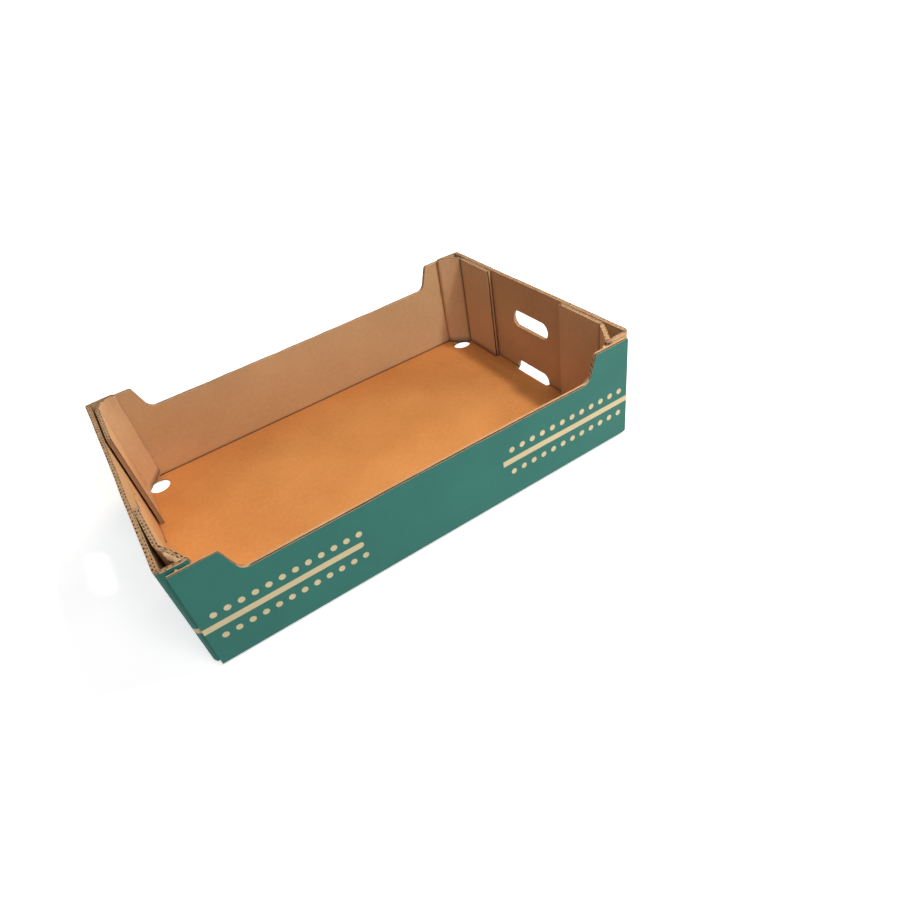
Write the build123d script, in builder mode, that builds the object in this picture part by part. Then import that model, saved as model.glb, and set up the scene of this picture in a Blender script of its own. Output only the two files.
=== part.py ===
from build123d import *
import os

# A produce tray folded and glued from one die-cut blank of double-wall corrugated board.
# Each end wall runs on round both corners as a side flap, a diagonal and a glue flap, which
# fold into a hollow three-cornered post. The long walls are glued to the outside of the posts.
# X runs along the tray, Z is up, and the origin is the middle of the underside. Millimetres.

# Board
board = 5.5                # thickness of the double-wall board
crease_round = 3.5         # outside rounding of the creases round the base
side_glue = 0.6            # glue line between a long wall and a post
flap_glue = 1.6            # glue line between an end wall and a glue flap, which springs open a little
foot_gap = 0.6             # room between the base and the free lower edges of a post

# Outside of the tray
tray_length = 600.0
tray_width = 400.0
end_height = 152.0         # top of the end walls
post_height = 150.5        # top of the flaps that make the posts
ear_height = 146.5         # top of the raised ends of the long walls
low_height = 111.0         # top of the long walls between their raised ends

# Corner posts
side_flap = 30.0           # from the end wall's inner face to the crease of the diagonal
back_depth = 22.4          # how far the diagonal of a back post runs along the end wall
front_depth = 37.0         # the same in a front post
back_flap_end = 84.0       # free edge of a back glue flap, from the middle of the end wall
front_flap_end = 76.0      # the same on a front glue flap

# Outline of the long walls
wall_end_foot = 6.5        # the end wall stands this far beyond a long wall at its foot
wall_end_top = 9.0         # and this far at its top
ear_top = 51.0             # length of a raised end along its top
ear_slope = 11.5           # run of the sloping edge beside it
ear_round = 4.0            # rounding at the top of the slope
slope_round = 13.0         # rounding at the foot of the slope

# Hand holes and foot notches in the end walls
hand_width = 82.0
hand_height = 26.0
hand_centre = 92.0         # height of the middle of a hand hole
notch_width = 77.0
notch_height = 21.0
notch_corner = 12.0        # rounding of the notch's upper corners
notch_bite = 5.0           # how far the notch reaches past the wall into the base

# Round holes in the corners of the base
vent_radius = 15.0
vent_from_end = 28.5       # centre to the outside of the end wall
vent_from_side = 31.0      # centre to the outside of the long wall

# The left back diagonal is torn away at its foot, most of all beside the long wall
tear_height = 11.0

end_inside = tray_length / 2 - board
long_inside = tray_width / 2 - board
post_outside = long_inside - side_glue
crease_y = post_outside - board
flap_back = end_inside - flap_glue
flap_front = flap_back - board
nose_x = end_inside - side_flap
post_foot = board + foot_gap
wall_foot_x = tray_length / 2 - wall_end_foot
wall_top_x = tray_length / 2 - wall_end_top
ear_top_x = wall_top_x - ear_top
ear_foot_x = ear_top_x - ear_slope


def quarter_strip(depth, flap_end):
    """Half an end wall with the flaps of one post, seen on edge, in the corner towards +X and +Y.

    The outline follows the inner face from the middle of the wall to the free edge of the glue
    flap, and comes back along the outer face, which goes round the folds.
    """
    nose_crease = Vector(nose_x, crease_y)
    fold_back = Vector(flap_back, crease_y - depth)
    along = (fold_back - nose_crease).normalized()
    nose_end = nose_crease + along.rotate(Axis.Z, -90) * board
    fold_front = nose_end + along * ((flap_front - nose_end.X) / along.X)
    with BuildSketch() as strip:
        with BuildLine():
            Polyline(
                (tray_length / 2, crease_y),
                (tray_length / 2, 0),
                (end_inside, 0),
                (end_inside, crease_y),
                nose_crease,
                fold_back,
                (flap_back, flap_end),
                (flap_front, flap_end),
                fold_front,
                nose_end,
            )
            CenterArc(nose_crease, board, 90, 180 - along.get_angle(Vector(1, 0)))
            Line((nose_x, post_outside), (end_inside, post_outside))
            CenterArc((end_inside, crease_y), board, 0, 90)
        make_face()
    return strip.sketch


back_corner = quarter_strip(back_depth, back_flap_end)
front_corner = quarter_strip(front_depth, front_flap_end)

with BuildPart() as tray:
    # Both end walls with their posts
    with BuildSketch():
        add(back_corner)
        mirror(front_corner, about=Plane.XZ)
        mirror(about=Plane.YZ)
    extrude(amount=end_height)

    # The flaps stop short of the top of the end wall and stand clear of the base
    with BuildSketch(Plane.XY.offset(post_height)):
        Rectangle(2 * end_inside, tray_width)
    extrude(amount=end_height - post_height, mode=Mode.SUBTRACT)
    with BuildSketch():
        Rectangle(2 * end_inside, tray_width)
    extrude(amount=post_foot, mode=Mode.SUBTRACT)

    # Torn foot of the left back diagonal: the sketch looks along Y, and the cut leaves the side flap
    with BuildSketch(Plane.XZ.offset(-crease_y)):
        with BuildLine():
            Polyline(
                (-flap_front, post_foot),
                (board - nose_x, post_foot + tear_height),
                (board - nose_x, post_foot),
                close=True,
            )
        make_face()
    extrude(amount=back_depth + board, mode=Mode.SUBTRACT)

    # Crease along the foot of each end wall, carried round the corner folds
    end_feet = edges().group_by(Axis.Z)[0]
    fillet(end_feet.filter_by(lambda e: abs(e.center().X) > end_inside + board / 2), crease_round)

    # Long walls, raised at both ends, on the outside of the posts
    with BuildSketch(Plane.XZ.offset(long_inside), Plane.XZ.offset(-tray_width / 2)):
        with BuildLine():
            Polyline((0, 0), (wall_foot_x, 0), (wall_top_x, ear_height))
            FilletPolyline(
                (wall_top_x, ear_height),
                (ear_top_x, ear_height),
                (ear_foot_x, low_height),
                (0, low_height),
                radius=(ear_round, slope_round),
            )
            mirror(about=Plane.YZ)
        make_face()
    extrude(amount=board)

    # Base, which joins the four walls, and the creases along its long sides
    with BuildSketch():
        Rectangle(2 * end_inside, tray_width)
    extrude(amount=board)
    long_feet = edges().filter_by(Axis.X).group_by(Axis.Z)[0]
    fillet(long_feet.group_by(Axis.Y)[0] + long_feet.group_by(Axis.Y)[-1], crease_round)

    # Hand holes, right through both end walls
    with BuildSketch(Plane.YZ):
        with Locations((0, hand_centre)):
            SlotOverall(hand_width, hand_height)
    extrude(amount=tray_length / 2, both=True, mode=Mode.SUBTRACT)

    # Foot notches across the end creases
    with BuildSketch(Plane.YZ.offset(end_inside - notch_bite), Plane.YZ.offset(-tray_length / 2)):
        Rectangle(notch_width, 2 * notch_height)
        fillet(vertices().group_by(Axis.Y)[-1], notch_corner)
    extrude(amount=board + notch_bite, mode=Mode.SUBTRACT)

    # Vent holes in the corners of the base, partly under the diagonals
    with BuildSketch():
        with GridLocations(tray_length - 2 * vent_from_end, tray_width - 2 * vent_from_side, 2, 2):
            Circle(vent_radius)
    extrude(amount=board, mode=Mode.SUBTRACT)

os.makedirs("parts", exist_ok=True)
tray.part.label = "tray"
export_step(tray.part, "parts/tray.step")
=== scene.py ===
from collections import namedtuple
import bpy
import numpy as np
from mathutils import Matrix, Vector


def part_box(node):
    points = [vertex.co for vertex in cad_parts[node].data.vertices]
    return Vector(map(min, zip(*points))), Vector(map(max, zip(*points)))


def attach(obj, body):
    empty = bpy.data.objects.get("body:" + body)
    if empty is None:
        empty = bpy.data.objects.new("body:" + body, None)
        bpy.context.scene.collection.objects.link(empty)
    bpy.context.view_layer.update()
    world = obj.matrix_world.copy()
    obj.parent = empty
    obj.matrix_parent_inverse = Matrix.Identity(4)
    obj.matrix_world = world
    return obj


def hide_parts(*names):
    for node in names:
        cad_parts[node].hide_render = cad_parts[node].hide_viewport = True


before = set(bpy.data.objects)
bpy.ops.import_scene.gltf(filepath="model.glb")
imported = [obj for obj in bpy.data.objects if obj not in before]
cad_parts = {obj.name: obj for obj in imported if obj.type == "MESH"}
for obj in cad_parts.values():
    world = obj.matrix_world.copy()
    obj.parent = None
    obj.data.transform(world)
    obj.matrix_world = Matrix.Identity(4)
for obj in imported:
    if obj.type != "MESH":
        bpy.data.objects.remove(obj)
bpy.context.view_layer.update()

# Board
# Double-wall corrugated board: three paper liners with two rows of fluted paper glued between them.
# It is made flat, printed on its outer liner, then cut, creased and folded. Lengths are in metres.
mm = 0.001
board = 5.5 * mm
liner = 0.6 * mm                         # paper of the outer and the inner liner
web = 0.5 * mm                           # paper of the middle liner and of the flutes
middle_liner = -0.1 * mm                 # height of the middle liner above the middle of the board
outer_pitch = 7.2 * mm                   # one wave of the flutes under the outer liner
inner_pitch = 6.2 * mm                   # and of those under the inner liner
fold_radius = board / 2 + 0.3 * mm       # of the middle of the board, round a crease
crease_crush = 0.35                      # least share of the thickness that a crease takes
crease_reach = 2.2 * mm                  # how far along the sheet the crush fades
crease_shade_width = 3.0 * mm                   # half width of the painted shade in the hollow of a crease
recess = 0.5 * mm                        # the flutes end this far inside a cut across them
trench = 6.0 * mm                        # and a row that is laid open ends this far inside a cut along it
flap_trench = 1.2 * mm                   # the same on the free edges of the glue flaps
fold_room = 0.9                          # share of a tight fold's radius that half the crushed board fills
line_steps = 20000                       # small steps along a fold line
flute_steps = 10                         # columns to one wave of the flutes
flute_opening = 0.8                      # mean share of its opening that the cutter leaves a flute
flute_uneven = 0.6                       # how far that share wanders
flute_least = 0.25                       # and its least value
flute_wander = 5.3                       # flutes to one wander
flute_phase = 1.0
same_place = 7                           # decimals of a metre to which two columns are one
seam_gap = 1e-7                          # blocks that end this close to each other are joined
hair = 1e-6                              # a step too small to show, to one side of an edge
edge_angle = np.radians(40)              # paper that turns more sharply than this shows an edge
upright_flutes = 0                       # flutes up a wall make ridges across the sheet's first coordinate
level_flutes = 1                         # and flutes along it across the second

FoldLine = namedtuple("FoldLine", "distance points normals folds turns crush length")
# A sheet's creases and a paper's marks weigh the painted shade of creases and flap feet at each point
Sheet = namedtuple("Sheet", "place chart blocks creases")
Paper = namedtuple("Paper", "points faces chart marks finish")
Mottle = namedtuple("Mottle", "scale detail roughness strength")


def spread(start, end, steps):
    """Values from start to end, closer together towards both, as even steps on a half circle."""
    return start + (end - start) * (1 - np.cos(np.linspace(0, np.pi, steps + 1))) / 2


def ripple(value, length, phase):
    """An uneven wave between about -1 and 1: three sines whose lengths have no common measure."""
    turn = 2 * np.pi * value / length
    waves = [(1.0, 1.0, 1.0), (0.6, 1.83, 2.3), (0.4, 3.21, 4.1)]
    return sum(swing * np.sin(rate * turn + shift * phase) for swing, rate, shift in waves) / 2


def rise(value, start, end):
    """0 before start and 1 past end, with an even S-shaped rise between them; start may be the larger."""
    share = np.clip((value - start) / (end - start), 0, 1)
    return share * share * (3 - 2 * share)


def fold_line(corners, radii):
    """Middle of a folded sheet seen on edge: straight runs between the corners, joined by tangent arcs.

    The heading stays the same along a run and turns evenly along an arc, so the points are the sum of
    small steps along the heading. The normals point to the left, which is the printed side. A fold that
    is tighter than half the board crushes it enough for the board to go round.
    """
    radii = np.array(radii)
    runs = np.diff(corners, axis=0)
    headings = np.unwrap(np.arctan2(runs[:, 1], runs[:, 0]))
    turns = np.diff(headings)
    cut = radii * np.tan(np.abs(turns) / 2)
    straight = np.hypot(*runs.T) - np.append(cut, 0) - np.insert(cut, 0, 0)
    lengths = np.zeros(2 * len(runs) - 1)
    lengths[0::2] = straight
    lengths[1::2] = radii * np.abs(turns)
    ends = np.insert(np.cumsum(lengths), 0, 0)
    distance = np.linspace(0, ends[-1], line_steps + 1)
    heading = np.interp(distance, ends, np.repeat(headings, 2))
    between = (heading[1:] + heading[:-1]) / 2
    steps = np.stack([np.cos(between), np.sin(between)]) * distance[1]
    points = np.insert(np.cumsum(steps, axis=1), 0, 0, axis=1) + np.array(corners[0])[:, None]
    normals = np.stack([-np.sin(heading), np.cos(heading)])
    folds = (ends[1:-1:2] + ends[2::2]) / 2
    crush = np.maximum(crease_crush, 1 - fold_room * radii / (board / 2))
    return FoldLine(distance, points, normals, folds, turns, crush, ends[-1])


def on_line(line, distance):
    """Points and normals of a fold line at the given distances along it, each as two rows."""
    points = [np.interp(distance, line.distance, row) for row in line.points]
    normals = [np.interp(distance, line.distance, row) for row in line.normals]
    return points, normals


def crushed(distance, line):
    """Share of the board's thickness that is left: less in a narrow valley along each crease."""
    gap = distance[..., None] - line.folds
    return 1 - np.max(line.crush * np.exp(-(gap / crease_reach) ** 2), axis=-1)


def crease_shade_bell(gap):
    """Painted shade's weight: 1 on a crease and 0 away from it, as a bell curve of the distance from it."""
    return np.exp(-(gap / crease_shade_width) ** 2)


def creased(distance, line):
    """Painted shade of the creases on the outer and on the inner skin: each crease is painted dark on its
    hollow side, where shade falls, which is the left one, the outer skin, where the line turns left."""
    marks = crease_shade_bell(distance[..., None] - line.folds)
    outer = np.max(marks * (line.turns > 0), axis=-1)
    inner = np.max(marks * (line.turns < 0), axis=-1)
    return outer, inner


def with_marks(length, step, marks):
    """Even columns along a sheet, and one at each mark, with no even column crowding a mark."""
    even = np.linspace(0, length, round(length / step) + 1)
    marks = np.unique(np.round(np.concatenate([marks, [0, length]]), same_place))
    marks = marks[(marks >= 0) & (marks <= length)]
    clear = np.min(np.abs(even[:, None] - marks), axis=1) > step / 2
    return np.sort(np.concatenate([even[clear], marks]))


def paper(sheet, columns, rows, offsets, finishes, inset=0.0, short=0.0):
    """One layer of paper as a closed slab: two skins over one grid, and a rim along every free edge.

    The columns run along the sheet. In each column, every block has rows between a low and a high limit,
    spaced by its shares. Blocks that end where the next starts share those vertices; elsewhere the gap
    between them is a hole, and a block is missing where its limits are not numbers. An edge of the grid
    that only one face uses is free. Finishes are numbers for the outer skin, the inner skin and the rim.
    A paper may be inset from the limits, and end short of cuts along its flutes.
    """
    numbers = []
    heights = []
    for (low, high), shares in zip(sheet.blocks(columns, short), rows):
        low = low + inset
        high = high - inset
        first = sum(height.size for height in heights)
        numbers.append(first + np.arange(shares.size * columns.size).reshape(shares.size, -1))
        heights.append(low + (high - low) * shares[:, None])
    for below, above, under, over in zip(numbers, numbers[1:], heights, heights[1:]):
        joined = np.isclose(under[-1], over[0], rtol=0, atol=2 * inset + seam_gap)
        above[0, joined] = below[-1, joined]
    cells = []
    outer_finish = []
    for number, height in zip(numbers, heights):
        there = np.isfinite(height[0])
        whole = there[1:] & there[:-1]
        corners = [number[:-1, :-1], number[1:, :-1], number[1:, 1:], number[:-1, 1:]]
        cells.append(np.stack(corners, axis=-1)[:, whole].reshape(-1, 4))
        printed = np.broadcast_to(finishes[0], columns.size - 1)[whole]
        outer_finish.append(np.tile(printed, height.shape[0] - 1))
    used, cells = np.unique(np.concatenate(cells), return_inverse=True)
    cells = cells.reshape(-1, 4)
    column = used % columns.size
    height = np.concatenate(heights).ravel()[used]
    offsets = [np.broadcast_to(offset, columns.size)[column] for offset in offsets]
    skins = [sheet.place(columns[column], height, offset) for offset in offsets]
    start = cells.ravel()
    end = np.roll(cells, -1, axis=1).ravel()
    free = ~np.isin(end * used.size + start, start * used.size + end)
    rim = np.stack([end[free], start[free], start[free] + used.size, end[free] + used.size], axis=-1)
    finish = np.concatenate(
        [*outer_finish, np.full(len(cells), finishes[1]), np.full(len(rim), finishes[2])]
    )
    chart = np.stack(sheet.chart(columns[column], height), axis=-1)
    faces = np.concatenate([cells, cells[:, ::-1] + used.size, rim])
    marks = np.concatenate(sheet.creases(columns[column], height))
    return Paper(np.concatenate(skins), faces, np.concatenate([chart, chart]), marks, finish)


def liners(sheet, line, marks, rows, step, print_finish):
    """The outer and the inner liner of the board; print_finish gives the outer skin's finish by column."""
    columns = with_marks(line.length, step, marks)
    left = crushed(columns, line)
    # the skins towards the flutes take the painted shade of the board's inside
    outer = paper(
        sheet, columns, rows, (board / 2 * left, (board / 2 - liner) * left),
        (print_finish(columns), painted_core_shade, raw_paper),
    )
    inner = paper(
        sheet, columns, rows, ((liner - board / 2) * left, -board / 2 * left),
        (painted_core_shade, bare_liner, raw_paper),
    )
    return [outer, inner]


def flutes(sheet, line, marks, rows, trenches, opened):
    """The middle liner and the two rows of flutes, each of which may end a trench short of cuts along it.

    The cutter has pressed every flute shut on one side. So a row is a slab on the middle liner with one round
    opening a pitch towards the other liner: the square root of a sine wave's upper half, times the opened
    share of the row's height and an uneven wave, as some flutes are pressed more than others.
    """
    # the flutes and the middle liner take the painted shade of the board's inside; their cut ends raw paper
    finishes = (painted_core_shade, painted_core_shade, raw_paper)
    columns = with_marks(line.length, outer_pitch, marks)
    left = crushed(columns, line)
    faces = ((middle_liner + web / 2) * left, (middle_liner - web / 2) * left)
    made = [paper(sheet, columns, rows, faces, finishes)]
    for inner_face, outer_face, pitch, short in [
        (middle_liner + web / 2, board / 2 - liner, outer_pitch, trenches[0]),
        (middle_liner - web / 2, liner - board / 2, inner_pitch, trenches[1]),
    ]:
        columns = with_marks(line.length, pitch / flute_steps, marks)
        left = crushed(columns, line)
        opening = opened * np.sqrt(np.clip(np.sin(2 * np.pi * columns / pitch), 0, None))
        pressed = flute_opening + flute_uneven * ripple(columns, flute_wander * pitch, flute_phase)
        opening = opening * np.clip(pressed, flute_least, 1)
        slab = np.stack([0 * columns + inner_face, outer_face + (inner_face - outer_face) * opening]) * left
        faces = (slab.max(axis=0), slab.min(axis=0))
        made.append(paper(sheet, columns, rows, faces, finishes, recess, short))
    return made


def folded_piece(name, papers, finishes):
    """One mesh object from several papers, with their charts as its UV map, in metres."""
    firsts = np.cumsum([0, *[len(sheet.points) for sheet in papers]])
    points = np.concatenate([sheet.points for sheet in papers])
    faces = np.concatenate([sheet.faces + first for sheet, first in zip(papers, firsts)])
    chart = np.concatenate([sheet.chart for sheet in papers])
    mesh = bpy.data.meshes.new(name)
    mesh.vertices.add(len(points))
    mesh.vertices.foreach_set("co", points.ravel())
    mesh.loops.add(faces.size)
    mesh.loops.foreach_set("vertex_index", faces.ravel())
    mesh.polygons.add(len(faces))
    mesh.polygons.foreach_set("loop_start", np.arange(0, faces.size, 4))
    mesh.polygons.foreach_set("material_index", np.concatenate([sheet.finish for sheet in papers]))
    mesh.uv_layers.new(name="sheet").data.foreach_set("uv", chart[faces.ravel()].ravel())
    # the crease attribute carries the painted shade of the creases and of the flaps' feet
    marks = mesh.attributes.new("crease", "FLOAT", "POINT")
    marks.data.foreach_set("value", np.concatenate([sheet.marks for sheet in papers]))
    mesh.update(calc_edges=True)
    mesh.validate()
    mesh.polygons.foreach_set("use_smooth", np.ones(len(mesh.polygons), dtype=bool))
    mesh.set_sharp_from_angle(angle=edge_angle)
    for finish in finishes:
        mesh.materials.append(finish)
    piece = bpy.data.objects.new(name, mesh)
    bpy.context.scene.collection.objects.link(piece)
    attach(piece, "root")
    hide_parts("tray")


def picture_colour(red, green, blue):
    """A colour in the eight-bit values of a picture, as the linear values that a shader takes: a straight
    line near black, and above it a power of the shifted value."""
    share = np.array([red, green, blue]) / 255
    return (*np.where(share <= 0.04045, share / 12.92, ((share + 0.055) / 1.055) ** 2.4), 1.0)


class Value:
    """A socket of the nodes of a material or the sky. Arithmetic on it adds Math nodes."""

    def __init__(self, tree, socket):
        self.tree = tree
        self.socket = socket

    def node(self, kind, settings, sockets, output=0):
        """Adds a node: first its settings, then a number, colour or Value for each of its sockets."""
        made = self.tree.nodes.new(kind)
        for name, setting in settings.items():
            setattr(made, name, setting)
        for key, entry in sockets.items():
            if isinstance(entry, Value):
                self.tree.links.new(entry.socket, made.inputs[key])
            else:
                made.inputs[key].default_value = entry
        return Value(self.tree, made.outputs[output])

    def math(self, operation, first, second=0.0):
        """A Math node on one or two numbers or values."""
        return self.node("ShaderNodeMath", {"operation": operation}, {0: first, 1: second})

    def __add__(self, other):
        return self.math("ADD", self, other)

    __radd__ = __add__

    def __sub__(self, other):
        return self.math("SUBTRACT", self, other)

    def __rsub__(self, other):
        return self.math("SUBTRACT", other, self)

    def __mul__(self, other):
        return self.math("MULTIPLY", self, other)

    __rmul__ = __mul__

    def __abs__(self):
        return self.math("ABSOLUTE", self)

    def __mod__(self, other):
        return self.math("FLOORED_MODULO", self, other)

    def sine(self):
        """Sine of this value, an angle in radians."""
        return self.math("SINE", self)

    def part(self, axis):
        """One coordinate of a vector."""
        return self.node("ShaderNodeSeparateXYZ", {}, {0: self}, axis)

    def larger(self, other):
        """The larger of this value and another."""
        return self.math("MAXIMUM", self, other)

    def length_with(self, other):
        """Length of a step of this value one way and the other value across it."""
        return self.math("SQRT", self * self + other * other)

    def under(self, limit, blur):
        """1 below the limit and 0 above it, with a soft edge of the given width."""
        sockets = {0: self, 1: limit - blur / 2, 2: limit + blur / 2, 3: 1.0, 4: 0.0}
        return self.node("ShaderNodeMapRange", {"interpolation_type": "SMOOTHSTEP"}, sockets)

    def mixed(self, first, second):
        """A colour between two: the first where this value is 0, the second where it is 1."""
        settings = {"data_type": "RGBA", "clamp_factor": True}
        return self.node("ShaderNodeMix", settings, {0: self, 6: first, 7: second}, 2)

    def mottle(self, noise):
        """Cloudy noise around zero over this vector, times its strength; its scale is about the number of
        clouds a metre."""
        sockets = {"Vector": self, "Scale": noise.scale, "Detail": noise.detail, "Roughness": noise.roughness}
        cloudy = self.node("ShaderNodeTexNoise", {"noise_dimensions": "3D"}, sockets)
        return (cloudy - 0.5) * noise.strength


def start_finish(name):
    """A new material: its shader, and the place on the sheet and in space that its pattern follows."""
    finish = bpy.data.materials.new(name)
    finish.use_nodes = True
    tree = finish.node_tree
    shader = tree.nodes["Principled BSDF"]
    space = Value(tree, tree.nodes.new("ShaderNodeTexCoord").outputs["Object"])
    sheet = space.node("ShaderNodeUVMap", {"uv_map": "sheet"}, {})
    return finish, shader, sheet, space


def plug(shader, **sockets):
    """Sets or links the named sockets of a shader; underscores stand for spaces."""
    tree = shader.id_data
    for key, entry in sockets.items():
        if isinstance(entry, Value):
            tree.links.new(entry.socket, shader.inputs[key.replace("_", " ")])
        else:
            shader.inputs[key.replace("_", " ")].default_value = entry


def paper_bump(space, height, depth):
    """Normal of a surface that stands up by a depth in metres where the height is 1."""
    return space.node("ShaderNodeBump", {}, {"Strength": 1.0, "Distance": depth, "Height": height})


def kraft_colours(space, pale, dark, bounce_strength=1.0, shade_drift=0.0):
    """Kraft paper: broad clouds, a mottle of pulp a few millimetres wide, and a fine grain of fibres.

    Towards the foot it takes on the base's tone, as painted light bounced off the base, most of all at the
    left front, as far as its bounce strength goes. A drift makes it paler or darker, as painted light and
    shade.
    Returns the colour, and the height of pulp and fibres.
    """
    clouds = space.mottle(paper_clouds)
    pulp = space.mottle(paper_pulp)
    grain = space.mottle(paper_fibres)
    tone = 0.5 + clouds + pulp + grain + shade_drift
    # painted light: the walls take on the base's tone near the foot, as if lit by light bounced off the base
    painted_bounce = bounce_share - space.part(0) * bounce_less_along - space.part(1) * bounce_less_across
    painted_bounce = painted_bounce * space.part(2).under(bounce_height, 2 * bounce_height) * bounce_strength
    colour = painted_bounce.mixed(tone.mixed(dark, pale), tone.mixed(base_lit_dark, base_lit_pale))
    return colour, grain + pulp * pulp_relief


def shaded_crease(space, colour):
    """The colour with painted shade: darker where the piece's crease marks are, as shade falls in its
    creases.
    """
    mark = space.node("ShaderNodeAttribute", {"attribute_name": "crease"}, {}, "Fac")
    return (mark * crease_shade).mixed(colour, painted_crease_shade)


def ridges(sheet, axis):
    """Faint ridges where the flutes press through the liner: a sine wave across them."""
    return (sheet.part(axis) * (2 * np.pi / outer_pitch)).sine() * ridge_relief


def bare_board(name, pale, dark, bounce_strength):
    """Unprinted end wall faces, cut edges, and the board's inside in painted shade: rough kraft over upright
    flutes.
    """
    finish, shader, sheet, space = start_finish(name)
    colour, grain = kraft_colours(space, pale, dark, bounce_strength)
    plug(shader, Base_Color=shaded_crease(space, colour), Roughness=paper_rough)
    plug(shader, Specular_IOR_Level=paper_shine)
    plug(shader, Normal=paper_bump(space, grain + ridges(sheet, upright_flutes), paper_relief))
    return finish


paper_clouds = Mottle(scale=9.0, detail=2.0, roughness=0.5, strength=0.9)
paper_pulp = Mottle(scale=160.0, detail=3.0, roughness=0.6, strength=0.55)
paper_fibres = Mottle(scale=900.0, detail=2.0, roughness=0.6, strength=0.5)
pulp_relief = 0.4                        # how far the pulp stands up beside the fibres
ridge_relief = 0.25                      # and the ridges over the flutes
paper_relief = 0.12 * mm
paper_rough = 0.88
paper_shine = 0.2
crease_shade = 0.85                      # share of the painted shade's tone in the middle of a crease
# Painted light: near their foot the walls take on the base's tone, as light bounced off the base
bounce_height = 70 * mm                    # middle of the rise in which the painted bounce light fades out
bounce_share = 0.35                        # of the base's tone, as painted bounce light, at the middle of the tray
bounce_less_along = 0.5                       # share that goes for each metre to the right
bounce_less_across = 1.1                      # and to the back
# The base's kraft with warm light painted in: more orange than the walls, though it is the same sheet
base_lit_pale = picture_colour(230, 157, 89)
base_lit_dark = picture_colour(194, 122, 62)
kraft_pale = picture_colour(215, 176, 131)
kraft_dark = picture_colour(184, 147, 106)
raw_pale = picture_colour(220, 178, 136)
raw_dark = picture_colour(176, 134, 96)
# Painted shade: the paper inside the board, between the liners, is a dark copy of the kraft for the shade
# there
core_shade_pale = picture_colour(144, 114, 84)
core_shade_dark = picture_colour(102, 76, 52)
# Painted shade: the dark tone in the hollow of a crease and along the foot of a flap
painted_crease_shade = picture_colour(60, 30, 14)
bare_liner = 0
raw_paper = 1
painted_core_shade = 2
bare_finish = bare_board("kraft_liner", kraft_pale, kraft_dark, 1.0)
raw_finish = bare_board("raw_paper", raw_pale, raw_dark, 0.0)
core_shade_finish = bare_board("painted_core_shade", core_shade_pale, core_shade_dark, 0.0)
board_finishes = [bare_finish, raw_finish, core_shade_finish]

# Print
# One pass of teal ink over the outside of the walls, with a cream stripe and rows of cream dots left
# in it. Ink sits in the paper, so its fibres still show. The outer liner is paler than the inner one.
outer_pale = picture_colour(222, 182, 138)
outer_dark = picture_colour(192, 153, 112)
teal_light = picture_colour(50, 124, 113)
teal_dark = picture_colour(40, 107, 97)
cream_light = picture_colour(233, 216, 172)
cream_dark = picture_colour(217, 197, 151)
stripe_height = 59.9 * mm
stripe_width = 8.0 * mm
dot_rows = (75.9 * mm, 42.6 * mm)
dot_radius = 3.9 * mm
dot_pitch = 15.4 * mm
ink_blur = 0.35 * mm
ink_wander = Mottle(scale=420.0, detail=2.0, roughness=0.5, strength=0.5 * mm)
ink_clouds = Mottle(scale=14.0, detail=2.0, roughness=0.5, strength=0.8)
ink_speckle = Mottle(scale=260.0, detail=3.0, roughness=0.6, strength=0.5)
ink_rough = 0.62
ink_shine = 0.3
ink_relief = 0.06 * mm
ink_foot = -1.0 * mm                     # the ink ends here along the sheet, just under the base
bare_blur = 1.0 * mm
unrubbed = 1.0                           # a place past the end of any wall

Stripe = namedtuple("Stripe", "start end rounded")
DotRun = namedtuple("DotRun", "first last row pitch")


def dot_run(near, count, side, row, pitch=dot_pitch):
    """A row of dots that starts near the middle of a wall and runs to one side."""
    first, last = sorted([side * near, side * (near + (count - 1) * pitch)])
    return DotRun(first, last, row, pitch)


def printed_board(
    name, stripes, dot_runs, reach, axis, rubbed_along=unrubbed, rubbed_above=unrubbed
):
    """The printed face: each stripe is a bar between two places along the wall, and each run of dots a row of
    discs from one place to another at a height. Bare kraft shows below the crease, past the reach, and where
    the ink is rubbed off beyond a place along the wall and above a height. The ridges of the flutes cross the
    given axis of the sheet."""
    finish, shader, sheet, space = start_finish(name)
    kraft, grain = kraft_colours(space, outer_pale, outer_dark)
    along = sheet.part(0)
    height = sheet.part(1)
    wander = space.mottle(ink_wander)
    cream = along * 0.0
    for stripe in stripes:
        above = height - stripe_height + wander
        half = (stripe.end - stripe.start) / 2
        beyond = abs(along - (stripe.start + stripe.end) / 2) - half
        if stripe.rounded:
            past_round = (beyond + stripe_width / 2).larger(0.0)
            cream = cream.larger(past_round.length_with(above).under(stripe_width / 2, ink_blur))
        else:
            cream = cream.larger(abs(above).under(stripe_width / 2, ink_blur) * beyond.under(0.0, ink_blur))
    for run in dot_runs:
        step = (along - (run.first - run.pitch / 2)) % run.pitch - run.pitch / 2
        disc = (step.length_with(height - run.row) + wander).under(dot_radius, ink_blur)
        middle = (run.first + run.last) / 2
        inside = abs(along - middle).under((run.last - run.first + run.pitch) / 2, ink_blur)
        cream = cream.larger(disc * inside)
    tone = 0.5 + space.mottle(ink_clouds) + space.mottle(ink_speckle)
    teal = tone.mixed(teal_dark, teal_light)
    pale = tone.mixed(cream_dark, cream_light)
    bare = (1 - abs(along).under(reach, bare_blur)).larger(height.under(ink_foot, bare_blur))
    rubbed = 1 - along.under(rubbed_along, 2 * bare_blur)
    rubbed = rubbed * (1 - (height + wander * 2).under(rubbed_above, bare_blur))
    bare = bare.larger(rubbed)
    colour = bare.mixed(cream.mixed(teal, pale), shaded_crease(space, kraft))
    plug(shader, Base_Color=colour, Roughness=ink_rough, Specular_IOR_Level=ink_shine)
    plug(shader, Normal=paper_bump(space, grain + ridges(sheet, axis), ink_relief))
    return finish


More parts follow.
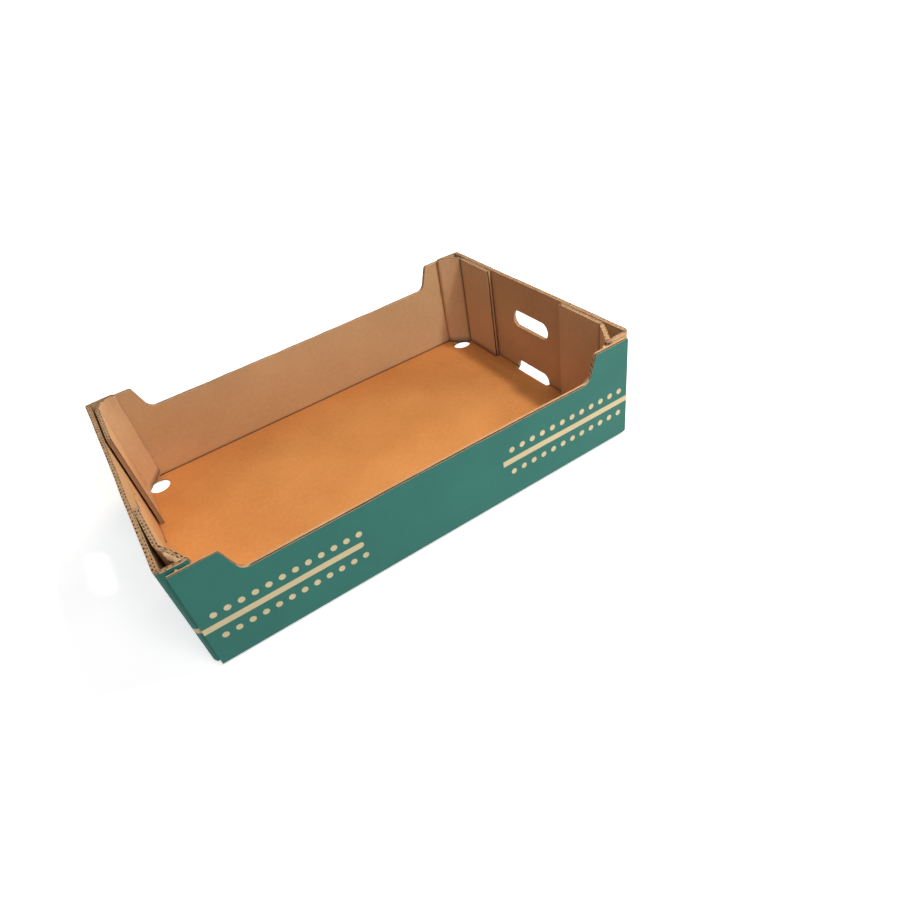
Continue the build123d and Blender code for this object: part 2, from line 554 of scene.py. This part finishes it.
# Base and long walls
# One run of the sheet: the back wall, the base and the front wall, folded at two creases that lie
# along the flutes. The walls are raised to ears at their ends and glued to the posts.
tray_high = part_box("tray")[1]
half_length = tray_high.x
half_width = tray_high.y
end_top = tray_high.z
ear_top = 146.5 * mm
low_top = 111.0 * mm
wall_end_foot = 6.5 * mm                 # the end wall stands this far beyond a long wall at its foot
wall_end_top = 9.0 * mm                  # and this far at its top
ear_length = 51.0 * mm
ear_slope = 11.5 * mm
ear_round = 4.0 * mm
slope_round = 13.0 * mm
vent_radius = 15.0 * mm
vent_squash = 13.6 / 15                  # the punch has left the right vents narrower across the tray
vent_x = half_length - 28.5 * mm
vent_y = half_width - 31.0 * mm
vent_pinch = 0.7                         # share of the thickness that the left vents' rims have lost
vent_pinch_reach = 3.0 * mm
ear_crush = 0.35                         # share of the thickness that the left front ear has lost at its top
ear_crush_reach = 22 * mm
ear_start = 215 * mm                     # the crush sets in along the wall from here
ear_full = 225 * mm                      # to here
wall_held = 240 * mm                     # from here on the posts hold the walls and the base still
wall_loose = 120 * mm                    # and up to here they give fully
wall_bow = 1.2 * mm
bow_uneven = 0.5                         # share by which the bow varies along the tray
bow_wave = (310 * mm, 1.0)               # length and phase of that wave
base_lift = 0.7 * mm
lift_uneven = 0.6
lift_wave = (190 * mm, 0.4)
lift_start = -10 * mm                    # the lift sets in here on the base, from the foot of a wall
lift_full = -60 * mm
edge_uneven = 0.35 * mm                  # of the low edges between the ears
edge_wave = (57 * mm, 2.0)
edge_reach = 12 * mm
notch_half = 38.5 * mm
notch_slant = 0.6 * mm
notch_bite = 4.7 * mm                    # how far the right notch reaches into the base
left_bite = -3.5 * mm                    # in the left notch a tongue of the base hangs on instead
foot_top = board / 2 + fold_radius       # where the bend of a crease ends and the wall is upright
foot_low = foot_top - fold_radius * np.pi / 2
base_end = half_length - foot_top

channel = fold_line([
    (half_width - board / 2, ear_top),
    (half_width - board / 2, board / 2),
    (board / 2 - half_width, board / 2),
    (board / 2 - half_width, ear_top),
], [fold_radius, fold_radius])
base_reach = channel.length / 2 - ear_top

ear_top_x = half_length - wall_end_top - ear_length
slope_angle = np.arctan2(ear_top - low_top, ear_slope)
slope_cut = slope_round * np.tan(slope_angle / 2)
ear_cut = ear_round * np.tan(slope_angle / 2)
slope_start_x = ear_top_x - ear_slope - slope_cut
slope_top = low_top + slope_cut * np.sin(slope_angle)
ear_foot = ear_top - ear_cut * np.sin(slope_angle)


def arc_run(radius, step):
    """Reach of an arc of the radius across a step from its centre, and 0 past the radius."""
    return np.sqrt(np.clip(radius**2 - step**2, 0, None))


def slope_x(height):
    """Inner edge of an ear at a height: a hollow round, the straight slope, then a full round on top."""
    straight = ear_top_x - (ear_top - height) / np.tan(slope_angle)
    hollow = slope_start_x + arc_run(slope_round, low_top + slope_round - height)
    crown = ear_top_x + ear_cut - arc_run(ear_round, height - ear_top + ear_round)
    return np.where(height < slope_top, hollow, np.where(height > ear_foot, crown, straight))


def channel_height(distance):
    """Height up either wall, which goes on below zero across the base."""
    return np.abs(distance - channel.length / 2) - base_reach


def channel_blocks(distance, short):
    """Where the board lies along X: left of the vents or the dip, between them, and right of them.

    A paper that ends short of the rims stops that far below the top edges.
    """
    across = np.abs(distance - channel.length / 2)
    height = channel_height(distance)
    on_base = height < foot_low
    bite = 1 - rise(across, notch_half - notch_slant, notch_half)
    wall_end = half_length - wall_end_foot + (wall_end_foot - wall_end_top) * height / ear_top
    left_end = np.where(on_base, base_end - left_bite * bite, wall_end)
    right_end = np.where(on_base, base_end - notch_bite * bite, wall_end)
    left_hole = arc_run(vent_radius, across - vent_y) * on_base
    right_hole = arc_run(vent_radius, (across - vent_y) / vent_squash) * on_base
    parting = np.interp(height, [foot_low, low_top], [vent_x, slope_start_x])
    edge = np.where(height > low_top + hair, slope_x(height), parting)
    edge = np.where(height > ear_top - short + hair, np.nan, edge)
    middle = np.where(height > low_top - short + hair, np.nan, edge)
    return [
        (-left_end, -edge - left_hole),
        (left_hole - middle, middle - right_hole),
        (edge + right_hole, right_end),
    ]


def place_channel(distance, along, offset):
    """Points of the channel: the fold line in Y and Z, moved along its normal by the offset and the warp.

    The walls bow in and the base lifts a little, all inwards, and the low edges are slightly uneven.
    Round a left vent the board is pressed thin from below: its offset from the upper face shrinks in a bell
    curve of the gap. The left front ear is crushed from its inner side towards its top.
    """
    (y, z), (normal_y, normal_z) = on_line(channel, distance)
    height = channel_height(distance)
    across = np.abs(distance - channel.length / 2)
    gap = np.hypot(across - vent_y, np.abs(along) - vent_x) - vent_radius
    pinch = vent_pinch * np.exp(-(gap / vent_pinch_reach) ** 2) * (along < 0)
    offset = (offset + board / 2) * (1 - pinch) - board / 2
    left_ear = rise(-along, ear_start, ear_full) * (distance > channel.length / 2)
    crush = ear_crush * left_ear * rise(height, ear_top - ear_crush_reach, ear_top)
    offset = board / 2 - (board / 2 - offset) * (1 - crush)
    loose = rise(np.abs(along), wall_held, wall_loose)
    bow = wall_bow * rise(height, 0, low_top) * loose * (1 + bow_uneven * ripple(along, *bow_wave))
    lift = base_lift * rise(height, lift_start, lift_full) * loose
    lift = lift * (1 + lift_uneven * ripple(along, *lift_wave))
    moved = offset - bow - lift
    uneven = edge_uneven * rise(height, low_top - edge_reach, low_top) * loose
    uneven = uneven * (ripple(along, *edge_wave) - 1)
    return np.stack([along, y + normal_y * moved, z + normal_z * moved + uneven], axis=-1)


def chart_channel(distance, along):
    """Place on the flat sheet: along the tray, and the height up either wall."""
    return along, channel_height(distance)


def channel_crease_shade(distance, along):
    """Painted shade of the two folds, on the outer and on the inner skin."""
    return creased(distance, channel)


def tray_inside(name):
    """The inner liner: kraft paper with warm light painted on the base, which gets paler towards the left
    front by painted light and shade.
    """
    finish, shader, sheet, space = start_finish(name)
    wall, grain = kraft_colours(space, kraft_pale, kraft_dark)
    # painted light and shade: paler towards the left front and darker towards the right back
    shade_drift = space.part(0) * shade_along + space.part(1) * shade_across
    base = kraft_colours(space, base_lit_pale, base_lit_dark, shade_drift=0 - shade_drift)[0]
    colour = sheet.part(1).under(foot_low, base_blur).mixed(wall, base)
    plug(shader, Base_Color=shaded_crease(space, colour), Roughness=paper_rough)
    plug(shader, Specular_IOR_Level=paper_shine)
    plug(shader, Normal=paper_bump(space, grain + ridges(sheet, level_flutes), paper_relief))
    return finish


shade_along = 0.7                       # steps of painted shade for each metre to the right
shade_across = 1.1                      # and to the back
base_blur = 4 * mm                       # width in which the tone of the base goes over into the walls'
inside_finish = tray_inside("tray_inside")
past_ends = 330 * mm                     # a place along a wall beyond its ends
left_stripe_end = -103 * mm
right_stripe_start = 92 * mm
front_dots = 12                          # in each row
left_dots = 105.0 * mm                   # from the middle of the wall to the nearest dot
right_dots = 106.6 * mm
right_dot_pitch = 15.64 * mm
back_dots = 13
back_dot_start = 90.0 * mm
whole_stripe = Stripe(-past_ends, past_ends, False)
front_print = printed_board(
    "front_print",
    [Stripe(-past_ends, left_stripe_end, True), Stripe(right_stripe_start, past_ends, False)],
    [dot_run(left_dots, front_dots, -1, row) for row in dot_rows]
    + [dot_run(right_dots, front_dots, 1, row, right_dot_pitch) for row in dot_rows],
    past_ends,
    level_flutes,
)
back_print = printed_board(
    "back_print",
    [whole_stripe],
    [dot_run(back_dot_start, back_dots, side, row) for side in (-1, 1) for row in dot_rows],
    past_ends,
    level_flutes,
)
back_face = 3
front_face = 4

base_marks = np.concatenate([
    vent_y + (vent_radius + vent_pinch_reach) * np.linspace(-1, 1, 25),
    vent_y + spread(-vent_radius, vent_radius, 18),
    vent_y + vent_squash * spread(-vent_radius, vent_radius, 18),
    notch_half - np.linspace(0, notch_slant, 3),
    base_reach + spread(low_top, slope_top, 10),
    base_reach + np.linspace(slope_top, ear_foot, 6),
    base_reach + spread(ear_foot, ear_top, 6),
    base_reach + foot_low + np.linspace(-crease_shade_width, foot_top - foot_low + crease_shade_width, 17),
])
channel_marks = channel.length / 2 + np.concatenate([-base_marks, base_marks])
channel_step = 6 * mm                    # between columns that are not at a mark
channel_opened = 0.9
channel_trenches = (trench, 0.0)
rim_shares = np.array([0.0, 0.003, 0.006, 0.01, 0.015])     # rows close to the rims of the vents and ears
middle_shares = np.unique(np.concatenate([rim_shares, np.linspace(0.03, 0.97, 36), 1 - rim_shares]))
channel_rows = [np.linspace(0, 1, 9), middle_shares, np.linspace(0, 1, 9)]
flute_rows = [np.linspace(0, 1, 4), np.linspace(0, 1, 9), np.linspace(0, 1, 4)]
channel_sheet = Sheet(place_channel, chart_channel, channel_blocks, channel_crease_shade)


def channel_print(columns):
    """The back wall's print on the first half of the channel, and the front wall's on the second."""
    return np.where(columns[:-1] < channel.length / 2, back_face, front_face)


folded_piece(
    "base_and_long_walls",
    liners(channel_sheet, channel, channel_marks, channel_rows, channel_step, channel_print),
    [inside_finish, raw_finish, core_shade_finish, back_print, front_print],
)
folded_piece(
    "base_and_long_walls_flutes",
    flutes(channel_sheet, channel, channel_marks, flute_rows, channel_trenches, channel_opened),
    board_finishes,
)

# End walls and posts
# Each end wall is folded up from the base and runs on round both corners as a side flap, a diagonal and
# a glue flap. The glue flap is stuck to the wall again, so the chain makes a hollow three-cornered post.
post_top = 150.5 * mm
foot_gap = 0.6 * mm                      # room between the base and the lower edges of the flaps
post_foot = board + foot_gap
side_glue = 0.6 * mm                     # glue line between a long wall and a post
end_inside = half_length - board
crease_y = half_width - 2 * board - side_glue
side_flap = 25.5 * mm                    # to the hollow side of the nose, whose fold is tight
nose_radius = 1.2 * mm
nose_press = 1.5 * mm                    # the nose is pressed this far towards the long wall
hole_pinch = 0.7                         # share of the thickness that the left hand hole's rim has lost
hole_pinch_reach = 4.0 * mm
foot_shadow_height = 3.4 * mm                     # height of the painted shadow along the foot of a back post's flaps
flap_glue = 1.6 * mm
hand_half = 41.0 * mm
hand_radius = 13.0 * mm
hand_centre = 92.0 * mm
notch_top = 19.5 * mm
notch_round = 12.0 * mm
end_print_reach = 221.0 * mm
corner_fade = 3 * mm                     # half the run in which a wall goes over into a flap at a corner
cut_fade = 4 * mm                        # how far past the nose the wear of a diagonal's edges reaches
lean_fade = 8 * mm                       # and how far its lean and crumple do
fold_share = 0.2                         # share of a diagonal, beside either fold, in which its wear sets in
least_foot = 2 * mm                      # least height of the board below a foot notch's corners
top_uneven = 0.2 * mm
top_wave = 23 * mm
crumple_cut = 0.9                        # share of a post's crumple that is missing from its top
crumple_wave = 13 * mm
wall_sway = 0.8 * mm
sway_wave = 240 * mm
sway_start = 10 * mm                     # the sway sets in at this height
sway_full = 80 * mm
ragged_depth = 7 * mm                    # how far down a crumpled top fades
ragged_wave = 9 * mm
bulge = 0.7                              # share of a post's crumple that runs all the way down
bulge_wave = 48 * mm
lean_height = 70 * mm
lean_curve = 1.5                         # powers: how late a lean and a slump set in on the way up
slump_curve = 2.2
fold_reach = 7 * mm                      # columns stand close within this of a fold
strip_step = 5 * mm                      # between columns that are not at a mark

# A post's line is the share of painted crease shade on its outer skin, and its foot that of the painted
# shadow at its flaps' feet
Post = namedtuple(
    "Post", "depth flap_end edge_gap fold_gap press top drop crumple slump lean tear line foot phase"
)
right_back = Post(
    depth=22.4 * mm, flap_end=88 * mm, edge_gap=3.0 * mm, fold_gap=1.6 * mm, press=0.2 * mm, top=151.8 * mm,
    drop=0.0, crumple=0.4 * mm, slump=2 * mm, lean=0.0, tear=0.0, line=1.0, foot=1.0, phase=0.7,
)
right_front = Post(
    depth=33.0 * mm, flap_end=75 * mm, edge_gap=1.2 * mm, fold_gap=2.6 * mm, press=0.2 * mm, top=151.6 * mm,
    drop=2.0 * mm, crumple=0.8 * mm, slump=0.0, lean=3.0 * mm, tear=0.0, line=0.7, foot=0.0, phase=2.9,
)
left_back = Post(
    depth=22.4 * mm, flap_end=80 * mm, edge_gap=3.0 * mm, fold_gap=4.0 * mm, press=0.0, top=152.0 * mm,
    drop=0.0, crumple=0.8 * mm, slump=8 * mm, lean=0.0, tear=11 * mm, line=0.0, foot=1.0, phase=1.9,
)
left_front = Post(
    depth=37.0 * mm, flap_end=77 * mm, edge_gap=0.4 * mm, fold_gap=4.4 * mm, press=0.0, top=151.8 * mm,
    drop=5.0 * mm, crumple=1.2 * mm, slump=0.0, lean=2.0 * mm, tear=0.0, line=0.0, foot=0.0, phase=4.2,
)


def post_corners(post):
    """Middle line of a post in the corner towards +X and +Y: glue flap, diagonal, side flap, end wall.

    The diagonal lies half a board inside the line from the nose crease to the back of the glue flap's fold.
    Each corner is where two of the middle lines cross, but for the nose, which is pressed outwards.
    """
    nose = np.array([end_inside - side_flap, crease_y])
    back = np.array([end_inside - flap_glue, crease_y - post.depth])
    along = (back - nose) / np.hypot(*(back - nose))
    start = nose + np.array([along[1], -along[0]]) * board / 2
    fold_x = end_inside - post.fold_gap - board / 2
    side_y = crease_y + board / 2
    return np.array([
        (end_inside - post.edge_gap - board / 2, post.flap_end),
        start + along * (fold_x - start[0]) / along[0],
        start + along * (side_y + nose_press - start[1]) / along[1],
        (half_length - board / 2, side_y),
    ])


def end_strip(name, turn, first, last, print_finish, opened, trenches):
    """An end wall with the flaps of both posts, at the right end for turn 1, turned half round for -1.

    The first post is the one towards +Y before it is turned. Cut edges leave the opened share of the flutes
    open, and the rows end a trench short of the flaps' free edges. Returns the sheet and its fold line.
    """
    radii = np.array([fold_radius, nose_radius, fold_radius])
    corners = np.concatenate([post_corners(first), post_corners(last)[::-1] * (1, -1)])
    line = fold_line(corners, np.concatenate([radii, radii[::-1]]))
    middle = (line.folds[2] + line.folds[3]) / 2
    wall_half = line.folds[3] - middle
    posts = [(first, line.folds[0], line.folds[1]), (last, line.folds[5], line.folds[4])]

    def on_wall(distance):
        """1 on the end wall and 0 on the flaps, changing round the corner folds."""
        return rise(np.abs(distance - middle), wall_half + corner_fade, wall_half - corner_fade)

    def on_post(distance, valley, nose, fade):
        """How far a place is from a post's glue flap to its nose, and if it is on the diagonal or either.

        The first is 0 on the glue flap and 1 from the nose on. The second is 1 on the diagonal, and the third
        on the glue flap as well; both fade past the nose.
        """
        toward = np.clip((distance - valley) / (nose - valley), 0, 1)
        past = np.sign(nose - valley) * fade
        before = rise(distance, nose + past, nose + past / 4)
        return toward, rise(toward, 0, fold_share) * before, before

    def blocks(distance, short):
        """Heights of the board: the foot up to the notch's top corners, on to the hand hole, and above it."""
        across = np.abs(distance - middle)
        bottom = post_foot + (foot_low - post_foot) * on_wall(distance)
        top = post_top + (end_top - post_top) * on_wall(distance)
        top = top - top_uneven * (1 + ripple(distance, top_wave, first.phase))
        for post, valley, nose in posts:
            toward, diagonal, _ = on_post(distance, valley, nose, cut_fade)
            bottom = bottom + diagonal * post.tear * toward
            top = top + (post.top - post_top) * rise(toward, 1, 1 - fold_share)
            top = top - post.drop * diagonal * toward**2
            crumpled = crumple_cut + crumple_cut * ripple(distance, crumple_wave, post.phase)
            top = top - diagonal * post.crumple * crumpled
        arch = arc_run(notch_round, np.clip(across - notch_half + notch_round, 0, None))
        arch = notch_top - notch_round + arch
        in_notch = across < notch_half - hair
        seam = np.where(in_notch, arch, np.maximum(notch_top - notch_round, bottom + least_foot))
        foot = np.where(in_notch, np.nan, bottom)
        hole = arc_run(hand_radius, np.clip(across - hand_half + hand_radius, 0, None))
        limits = [(foot, seam), (seam, hand_centre - hole), (hand_centre + hole, top)]
        kept = np.where((distance < short) | (distance > line.length - short), np.nan, 0.0)
        return [(low + kept, high + kept) for low, high in limits]

    def place(distance, height, offset):
        """Points of the strip: the fold line in X and Y carried up, with the wall's foot bent under.

        Below the foot's bend a length of board turns by an angle, so it goes in by the length times the sine
        of half the angle over half the angle, and down by what is left. Posts lean, crumple and wave. Round
        the left hand hole the board is pressed thin from inside, in a bell curve of the gap to the hole.
        """
        (x, y), (normal_x, normal_y) = on_line(line, distance)
        drop = np.clip(foot_top - height, 0, None)
        angle = drop / fold_radius * on_wall(distance)
        inward = drop * np.sin(angle / 2) * np.sinc(angle / (2 * np.pi))
        downward = drop * np.sinc(angle / np.pi)
        bend = np.exp(-((angle - np.pi / 4) * fold_radius / crease_reach) ** 2) * (angle > 0)
        offset = offset * (1 - crease_crush * bend)
        beside = np.clip(np.abs(distance - middle) - hand_half + hand_radius, 0, None)
        gap = np.hypot(beside, height - hand_centre) - hand_radius
        pinch = hole_pinch * np.exp(-(gap / hole_pinch_reach) ** 2) * (turn < 0)
        offset = board / 2 - (board / 2 - offset) * (1 - pinch)
        wave = 0.5 + 0.5 * ripple(distance, sway_wave, first.phase)
        sway = -wall_sway * on_wall(distance) * rise(height, sway_start, sway_full) * wave
        for post, valley, nose in posts:
            toward, diagonal, _ = on_post(distance, valley, nose, lean_fade)
            from_top = np.clip(post.top - height, 0, None)
            ragged = np.exp(-from_top / ragged_depth) * ripple(distance, ragged_wave, post.phase)
            bulged = bulge * toward * ripple(height, bulge_wave, post.phase)
            sway = sway + post.crumple * diagonal * (ragged + bulged)
            sway = sway - post.press * rise(toward, 1, 0) * height / post.top
            leaning = rise(height, post.top - lean_height, post.top) ** lean_curve
            sway = sway - post.lean * diagonal * toward * leaning
            sway = sway - post.slump * np.sin(np.pi * toward) * (height / post.top) ** slump_curve
        moved = offset * np.cos(angle) - inward + sway
        z = np.where(height < foot_top, foot_top - downward - offset * np.sin(angle), height)
        return np.stack([turn * (x + normal_x * moved), turn * (y + normal_y * moved), z], axis=-1)

    def chart(distance, height):
        """Place on the flat sheet: along the strip from the middle of the end wall, and up."""
        return distance - middle, height

    def creases(distance, height):
        """Painted shade in the upright folds and the foot crease; painted shadow at the back posts' flap
        feet.
        """
        outer, inner = creased(distance, line)
        outer = outer * np.where(distance < middle, first.line, last.line)
        above_foot = np.nan_to_num(height - blocks(distance, 0.0)[0][0])
        for post, valley, nose in posts:
            _, diagonal, flaps = on_post(distance, valley, nose, cut_fade)
            # painted shadow along the foot of the flaps, where the gap under them lies in shade
            dark = post.foot * np.maximum(diagonal, post.line * flaps)
            outer = np.maximum(outer, dark * np.exp(-(above_foot / foot_shadow_height) ** 2))
        foot = crease_shade_bell(height - (foot_low + foot_top) / 2) * on_wall(distance)
        return outer, np.maximum(inner, foot)

    across_marks = np.concatenate([
        hand_half - spread(0, hand_radius, 8),
        notch_half - spread(0, notch_round, 8),
        [notch_half - 2 * hair],
    ])
    marks = np.concatenate([
        middle + across_marks,
        middle - across_marks,
        *[fold + np.linspace(-fold_reach, fold_reach, 21) for fold in line.folds],
        *[np.linspace(min(valley, nose), max(valley, nose), 31) for _, valley, nose in posts],
    ])
    rows = [
        np.linspace(0, 1, 8),
        np.linspace(0, 1, 11),
        np.concatenate([np.linspace(0, 0.7, 6), np.linspace(0.7, 1, 10)[1:]]),
    ]
    few_rows = [np.linspace(0, 1, 3), np.linspace(0, 1, 4), np.array([0, 0.3, 0.6, 0.8, 0.9, 0.96, 1])]
    sheet = Sheet(place, chart, blocks, creases)
    papers = liners(sheet, line, marks, rows, strip_step, lambda columns: end_face)
    folded_piece(name, papers, [*board_finishes, print_finish])
    cores = flutes(sheet, line, marks, few_rows, trenches, opened)
    folded_piece(name + "_flutes", cores, board_finishes)
    return sheet, line


end_face = 3
end_dots = 12                            # in each half of the lower row
end_dot_start = 7.7 * mm
dots_under_hole = 3                      # the upper row starts this many dots later, beside the hand hole
upper_dots = end_dots - dots_under_hole
upper_dot_start = end_dot_start + dots_under_hole * dot_pitch
worn_along = 188 * mm                    # the ink is rubbed off past this along the strip
worn_above = 145.5 * mm                  # and above this
end_print = printed_board(
    "end_print",
    [whole_stripe],
    [dot_run(end_dot_start, end_dots, side, dot_rows[1]) for side in (-1, 1)]
    + [dot_run(upper_dot_start, upper_dots, side, dot_rows[0]) for side in (-1, 1)],
    end_print_reach,
    upright_flutes,
    worn_along,
    worn_above,
)
right_opened = 0.5
right_trenches = (2 * flap_trench, 0.0)
end_strip("right_end", 1, right_back, right_front, end_print, right_opened, right_trenches)
left_opened = 0.95
left_trenches = (flap_trench, flap_trench)
left_sheet, left_line = end_strip(
    "left_end", -1, left_front, left_back, end_print, left_opened, left_trenches
)

# Torn paper
# Along the torn top of the left front diagonal the inner liner has come off the flutes and curls into
# the hollow of the post. Flakes of paper still hang on the cut tops beside both front posts.
taper_end = 0.04                         # share of a strip's length at either end that tapers no further
taper_curve = 0.6                        # power of the taper, which keeps the middle wide
curl_width = 0.9                         # mean share of the width that a strip keeps
curl_uneven = 0.12
curl_phase = 1.3
peel_from_fold = 12 * mm
peel_from_nose = 6 * mm
peel_below = 0.6 * mm                    # the peel starts this far below the top
peel_width = 6.5 * mm
peel_slope = 0.9                         # angle over the level at which it starts
peel_bend = 2.1                          # angle by which it bends over
flake_bend = 1.2

Flake = namedtuple("Flake", "x y z heading length width start_slope")
flakes = [
    Flake(-282 * mm, -197.5 * mm, 146.3 * mm, 0.2, 3.5 * mm, 2.5 * mm, 1.0),
    Flake(-271 * mm, -190 * mm, 148.0 * mm, 0.5, 6 * mm, 4 * mm, 0.7),
    Flake(255 * mm, -195 * mm, 146.3 * mm, 0.0, 6 * mm, 3 * mm, 0.9),
    Flake(281 * mm, -193 * mm, 146.3 * mm, 0.3, 6 * mm, 3 * mm, 0.8),
]


def curl(edge, outward, length, width, start_slope, bend):
    """A strip of peeled paper that starts along an edge and bends over in an even arc.

    At a share of its width its slope is the start slope less that share of the bend, so it goes out by
    the change of the slope's sine, and up by the change of its cosine, times the radius of the arc.
    """
    radius = width / bend

    def blocks(distance, short):
        """From the edge to the strip's width, which tapers to both ends as a sine and is a little uneven."""
        taper = np.sin(np.pi * np.clip(distance / length, taper_end, 1 - taper_end)) ** taper_curve
        uneven = curl_width + curl_uneven * ripple(distance, length / 2, curl_phase)
        return [(0 * distance, width * taper * uneven)]

    def place(distance, reach, offset):
        """Points on the arc, moved by the offset at right angles to it."""
        slope = start_slope - reach / radius
        out = radius * (np.sin(start_slope) - np.sin(slope)) - offset * np.sin(slope)
        up = radius * (np.cos(slope) - np.cos(start_slope)) + offset * np.cos(slope)
        return edge(distance) + outward(distance) * out[:, None] + up[:, None] * np.array([0, 0, 1])

    def chart(distance, reach):
        """Place on the flat strip: along its edge, and across it."""
        return distance, reach

    def creases(distance, reach):
        """No mark on either skin."""
        return 0 * distance, 0 * distance

    sheet = Sheet(place, chart, blocks, creases)
    faces = (web / 2, -web / 2)
    return paper(sheet, np.linspace(0, length, 25), [np.linspace(0, 1, 9)], faces, (raw_paper,) * 3)


peel_start = left_line.folds[0] + peel_from_fold
peel_length = left_line.folds[1] - peel_start - peel_from_nose


def peel_edge(distance, depth=0.0):
    """Points along the top of the left front diagonal, at a depth into the hollow from its inner face."""
    place = peel_start + distance
    top = left_sheet.blocks(place, 0.0)[-1][1]
    return left_sheet.place(place, top - peel_below, 0 * place - board / 2 + liner / 2 - depth)


def peel_outward(distance):
    """Direction into the hollow: the step between two depths over its length."""
    return (peel_edge(distance, mm) - peel_edge(distance)) / mm


def loose_flake(flake):
    """A small loose flake whose edge starts at a point and runs along a heading in the ground plane."""
    along = np.array([np.cos(flake.heading), np.sin(flake.heading), 0])
    across = np.array([-np.sin(flake.heading), np.cos(flake.heading), 0])
    start = np.array([flake.x, flake.y, flake.z])
    return curl(
        lambda distance: start + distance[:, None] * along,
        lambda distance: np.broadcast_to(across, (distance.size, 3)),
        flake.length, flake.width, flake.start_slope, flake_bend,
    )


folded_piece(
    "torn_paper",
    [
        curl(peel_edge, peel_outward, peel_length, peel_width, peel_slope, peel_bend),
        *[loose_flake(flake) for flake in flakes],
    ],
    board_finishes,
)

# Floor
# A plain, smooth, pale ground that the tray stands on. It takes the tray's soft shadow around the tray,
# and fades into the white around it. Under the tray it is painted white, a painted light in place of its
# shadow.
floor_reach = 6.0
floor_drop = 0.3 * mm                    # just below the tray
floor_colour = (0.94, 0.85, 0.81, 1)
floor_rough = 0.9
floor_shine = 0.1
black = (0, 0, 0, 1)
white = (1, 1, 1, 1)
fade_start = 0.55
fade_end = 1.1
glow = 0.6                               # share of plain white in the ground that the camera sees
through_holes = 12 * mm                  # painted light: seen through the vents, the ground is white from this far inside the walls
through_blur = 4 * mm


def background_seen(start):
    """1 for the rays that show the ground or the sky, from the camera, off gloss or through glass, else 0."""
    rays = ["Is Camera Ray", "Is Glossy Ray", "Is Transmission Ray"]
    camera, gloss, glass = [start.node("ShaderNodeLightPath", {}, {}, ray) for ray in rays]
    return camera.larger(gloss).larger(glass)


floor_mesh = bpy.data.meshes.new("floor")
floor_corners = [(-1, -1), (1, -1), (1, 1), (-1, 1)]
floor_mesh.from_pydata(
    [(x * floor_reach, y * floor_reach, -floor_drop) for x, y in floor_corners], [], [(0, 1, 2, 3)]
)
floor = bpy.data.objects.new("floor", floor_mesh)
bpy.context.scene.collection.objects.link(floor)
floor_finish, floor_shader, _, floor_space = start_finish("floor")
ground_x = floor_space.part(0)
ground_y = floor_space.part(1)
far = 1 - ground_x.length_with(ground_y).under((fade_start + fade_end) / 2, fade_end - fade_start)
# painted light: under the tray the camera sees the ground white, though the tray shades it
inside_x = abs(ground_x).under(half_length - through_holes, through_blur)
inside_y = abs(ground_y).under(half_width - through_holes, through_blur)
bright = far.larger(inside_x * inside_y).larger(glow) * background_seen(floor_space)
plug(floor_shader, Base_Color=floor_colour, Roughness=floor_rough, Specular_IOR_Level=floor_shine)
plug(floor_shader, Emission_Color=bright.mixed(black, white), Emission_Strength=1.0)
floor_mesh.materials.append(floor_finish)

# Camera and light
# A camera where the picture was taken from. A small key lamp stands at the right front, large soft lamps
# in front, on the left and on the right fill the shade, and the sky is an even white.
eye = Vector((-227.32, -698.87, 555.14)) * mm
right = Vector((0.82586, -0.54423, -0.14755))
up = Vector((0.46846, 0.51656, 0.71674))
focal_pixels = 633.53
picture_pixels = 900
lens_centre_pixels = 508.79              # height of the optical axis in the picture, from its top
nearest_seen = 0.01
camera_data = bpy.data.cameras.new("camera")
camera_data.lens = camera_data.sensor_width * focal_pixels / picture_pixels
camera_data.shift_y = lens_centre_pixels / picture_pixels - 0.5
camera_data.clip_start = nearest_seen
camera = bpy.data.objects.new("camera", camera_data)
bpy.context.scene.collection.objects.link(camera)
back = right.cross(up).normalized()
camera.matrix_world = Matrix.Translation(eye) @ Matrix([right, back.cross(right), back]).transposed().to_4x4()
bpy.context.scene.camera = camera

Lamp = namedtuple("Lamp", "name place size power tint")
lamps = [
    Lamp("key_lamp", (0.53, -0.5, 1.0), 0.1, 7.6, (1.0, 0.98, 0.95)),
    Lamp("front_lamp", (0.2, -1.5, 2.0), 1.2, 22.5, (0.97, 1.0, 1.03)),
    Lamp("fill_lamp", (-1.6, 0.2, 1.4), 1.0, 3.0, (0.8, 1.0, 1.15)),
    Lamp("right_lamp", (1.8, 1.2, 1.0), 2.2, 38.0, (1.0, 0.88, 0.68)),
]
for row in lamps:
    lamp_data = bpy.data.lights.new(row.name, "AREA")
    lamp_data.energy = row.power
    lamp_data.size = row.size
    lamp_data.color = row.tint
    lamp = bpy.data.objects.new(row.name, lamp_data)
    bpy.context.scene.collection.objects.link(lamp)
    lamp_turn = Vector(row.place).to_track_quat("Z", "Y").to_matrix().to_4x4()
    lamp.matrix_world = Matrix.Translation(row.place) @ lamp_turn

sky_light = 0.12
world = bpy.data.worlds.new("white_sky")
world.use_nodes = True
bpy.context.scene.world = world
sky = world.node_tree.nodes["Background"]
sky_tint = (0.85, 1.0, 1.18, 1)
seen = background_seen(Value(world.node_tree, sky.outputs["Background"]))
plug(sky, Color=seen.mixed(sky_tint, white), Strength=seen * (1 - sky_light) + sky_light)

bpy.context.scene.view_settings.view_transform = "Standard"
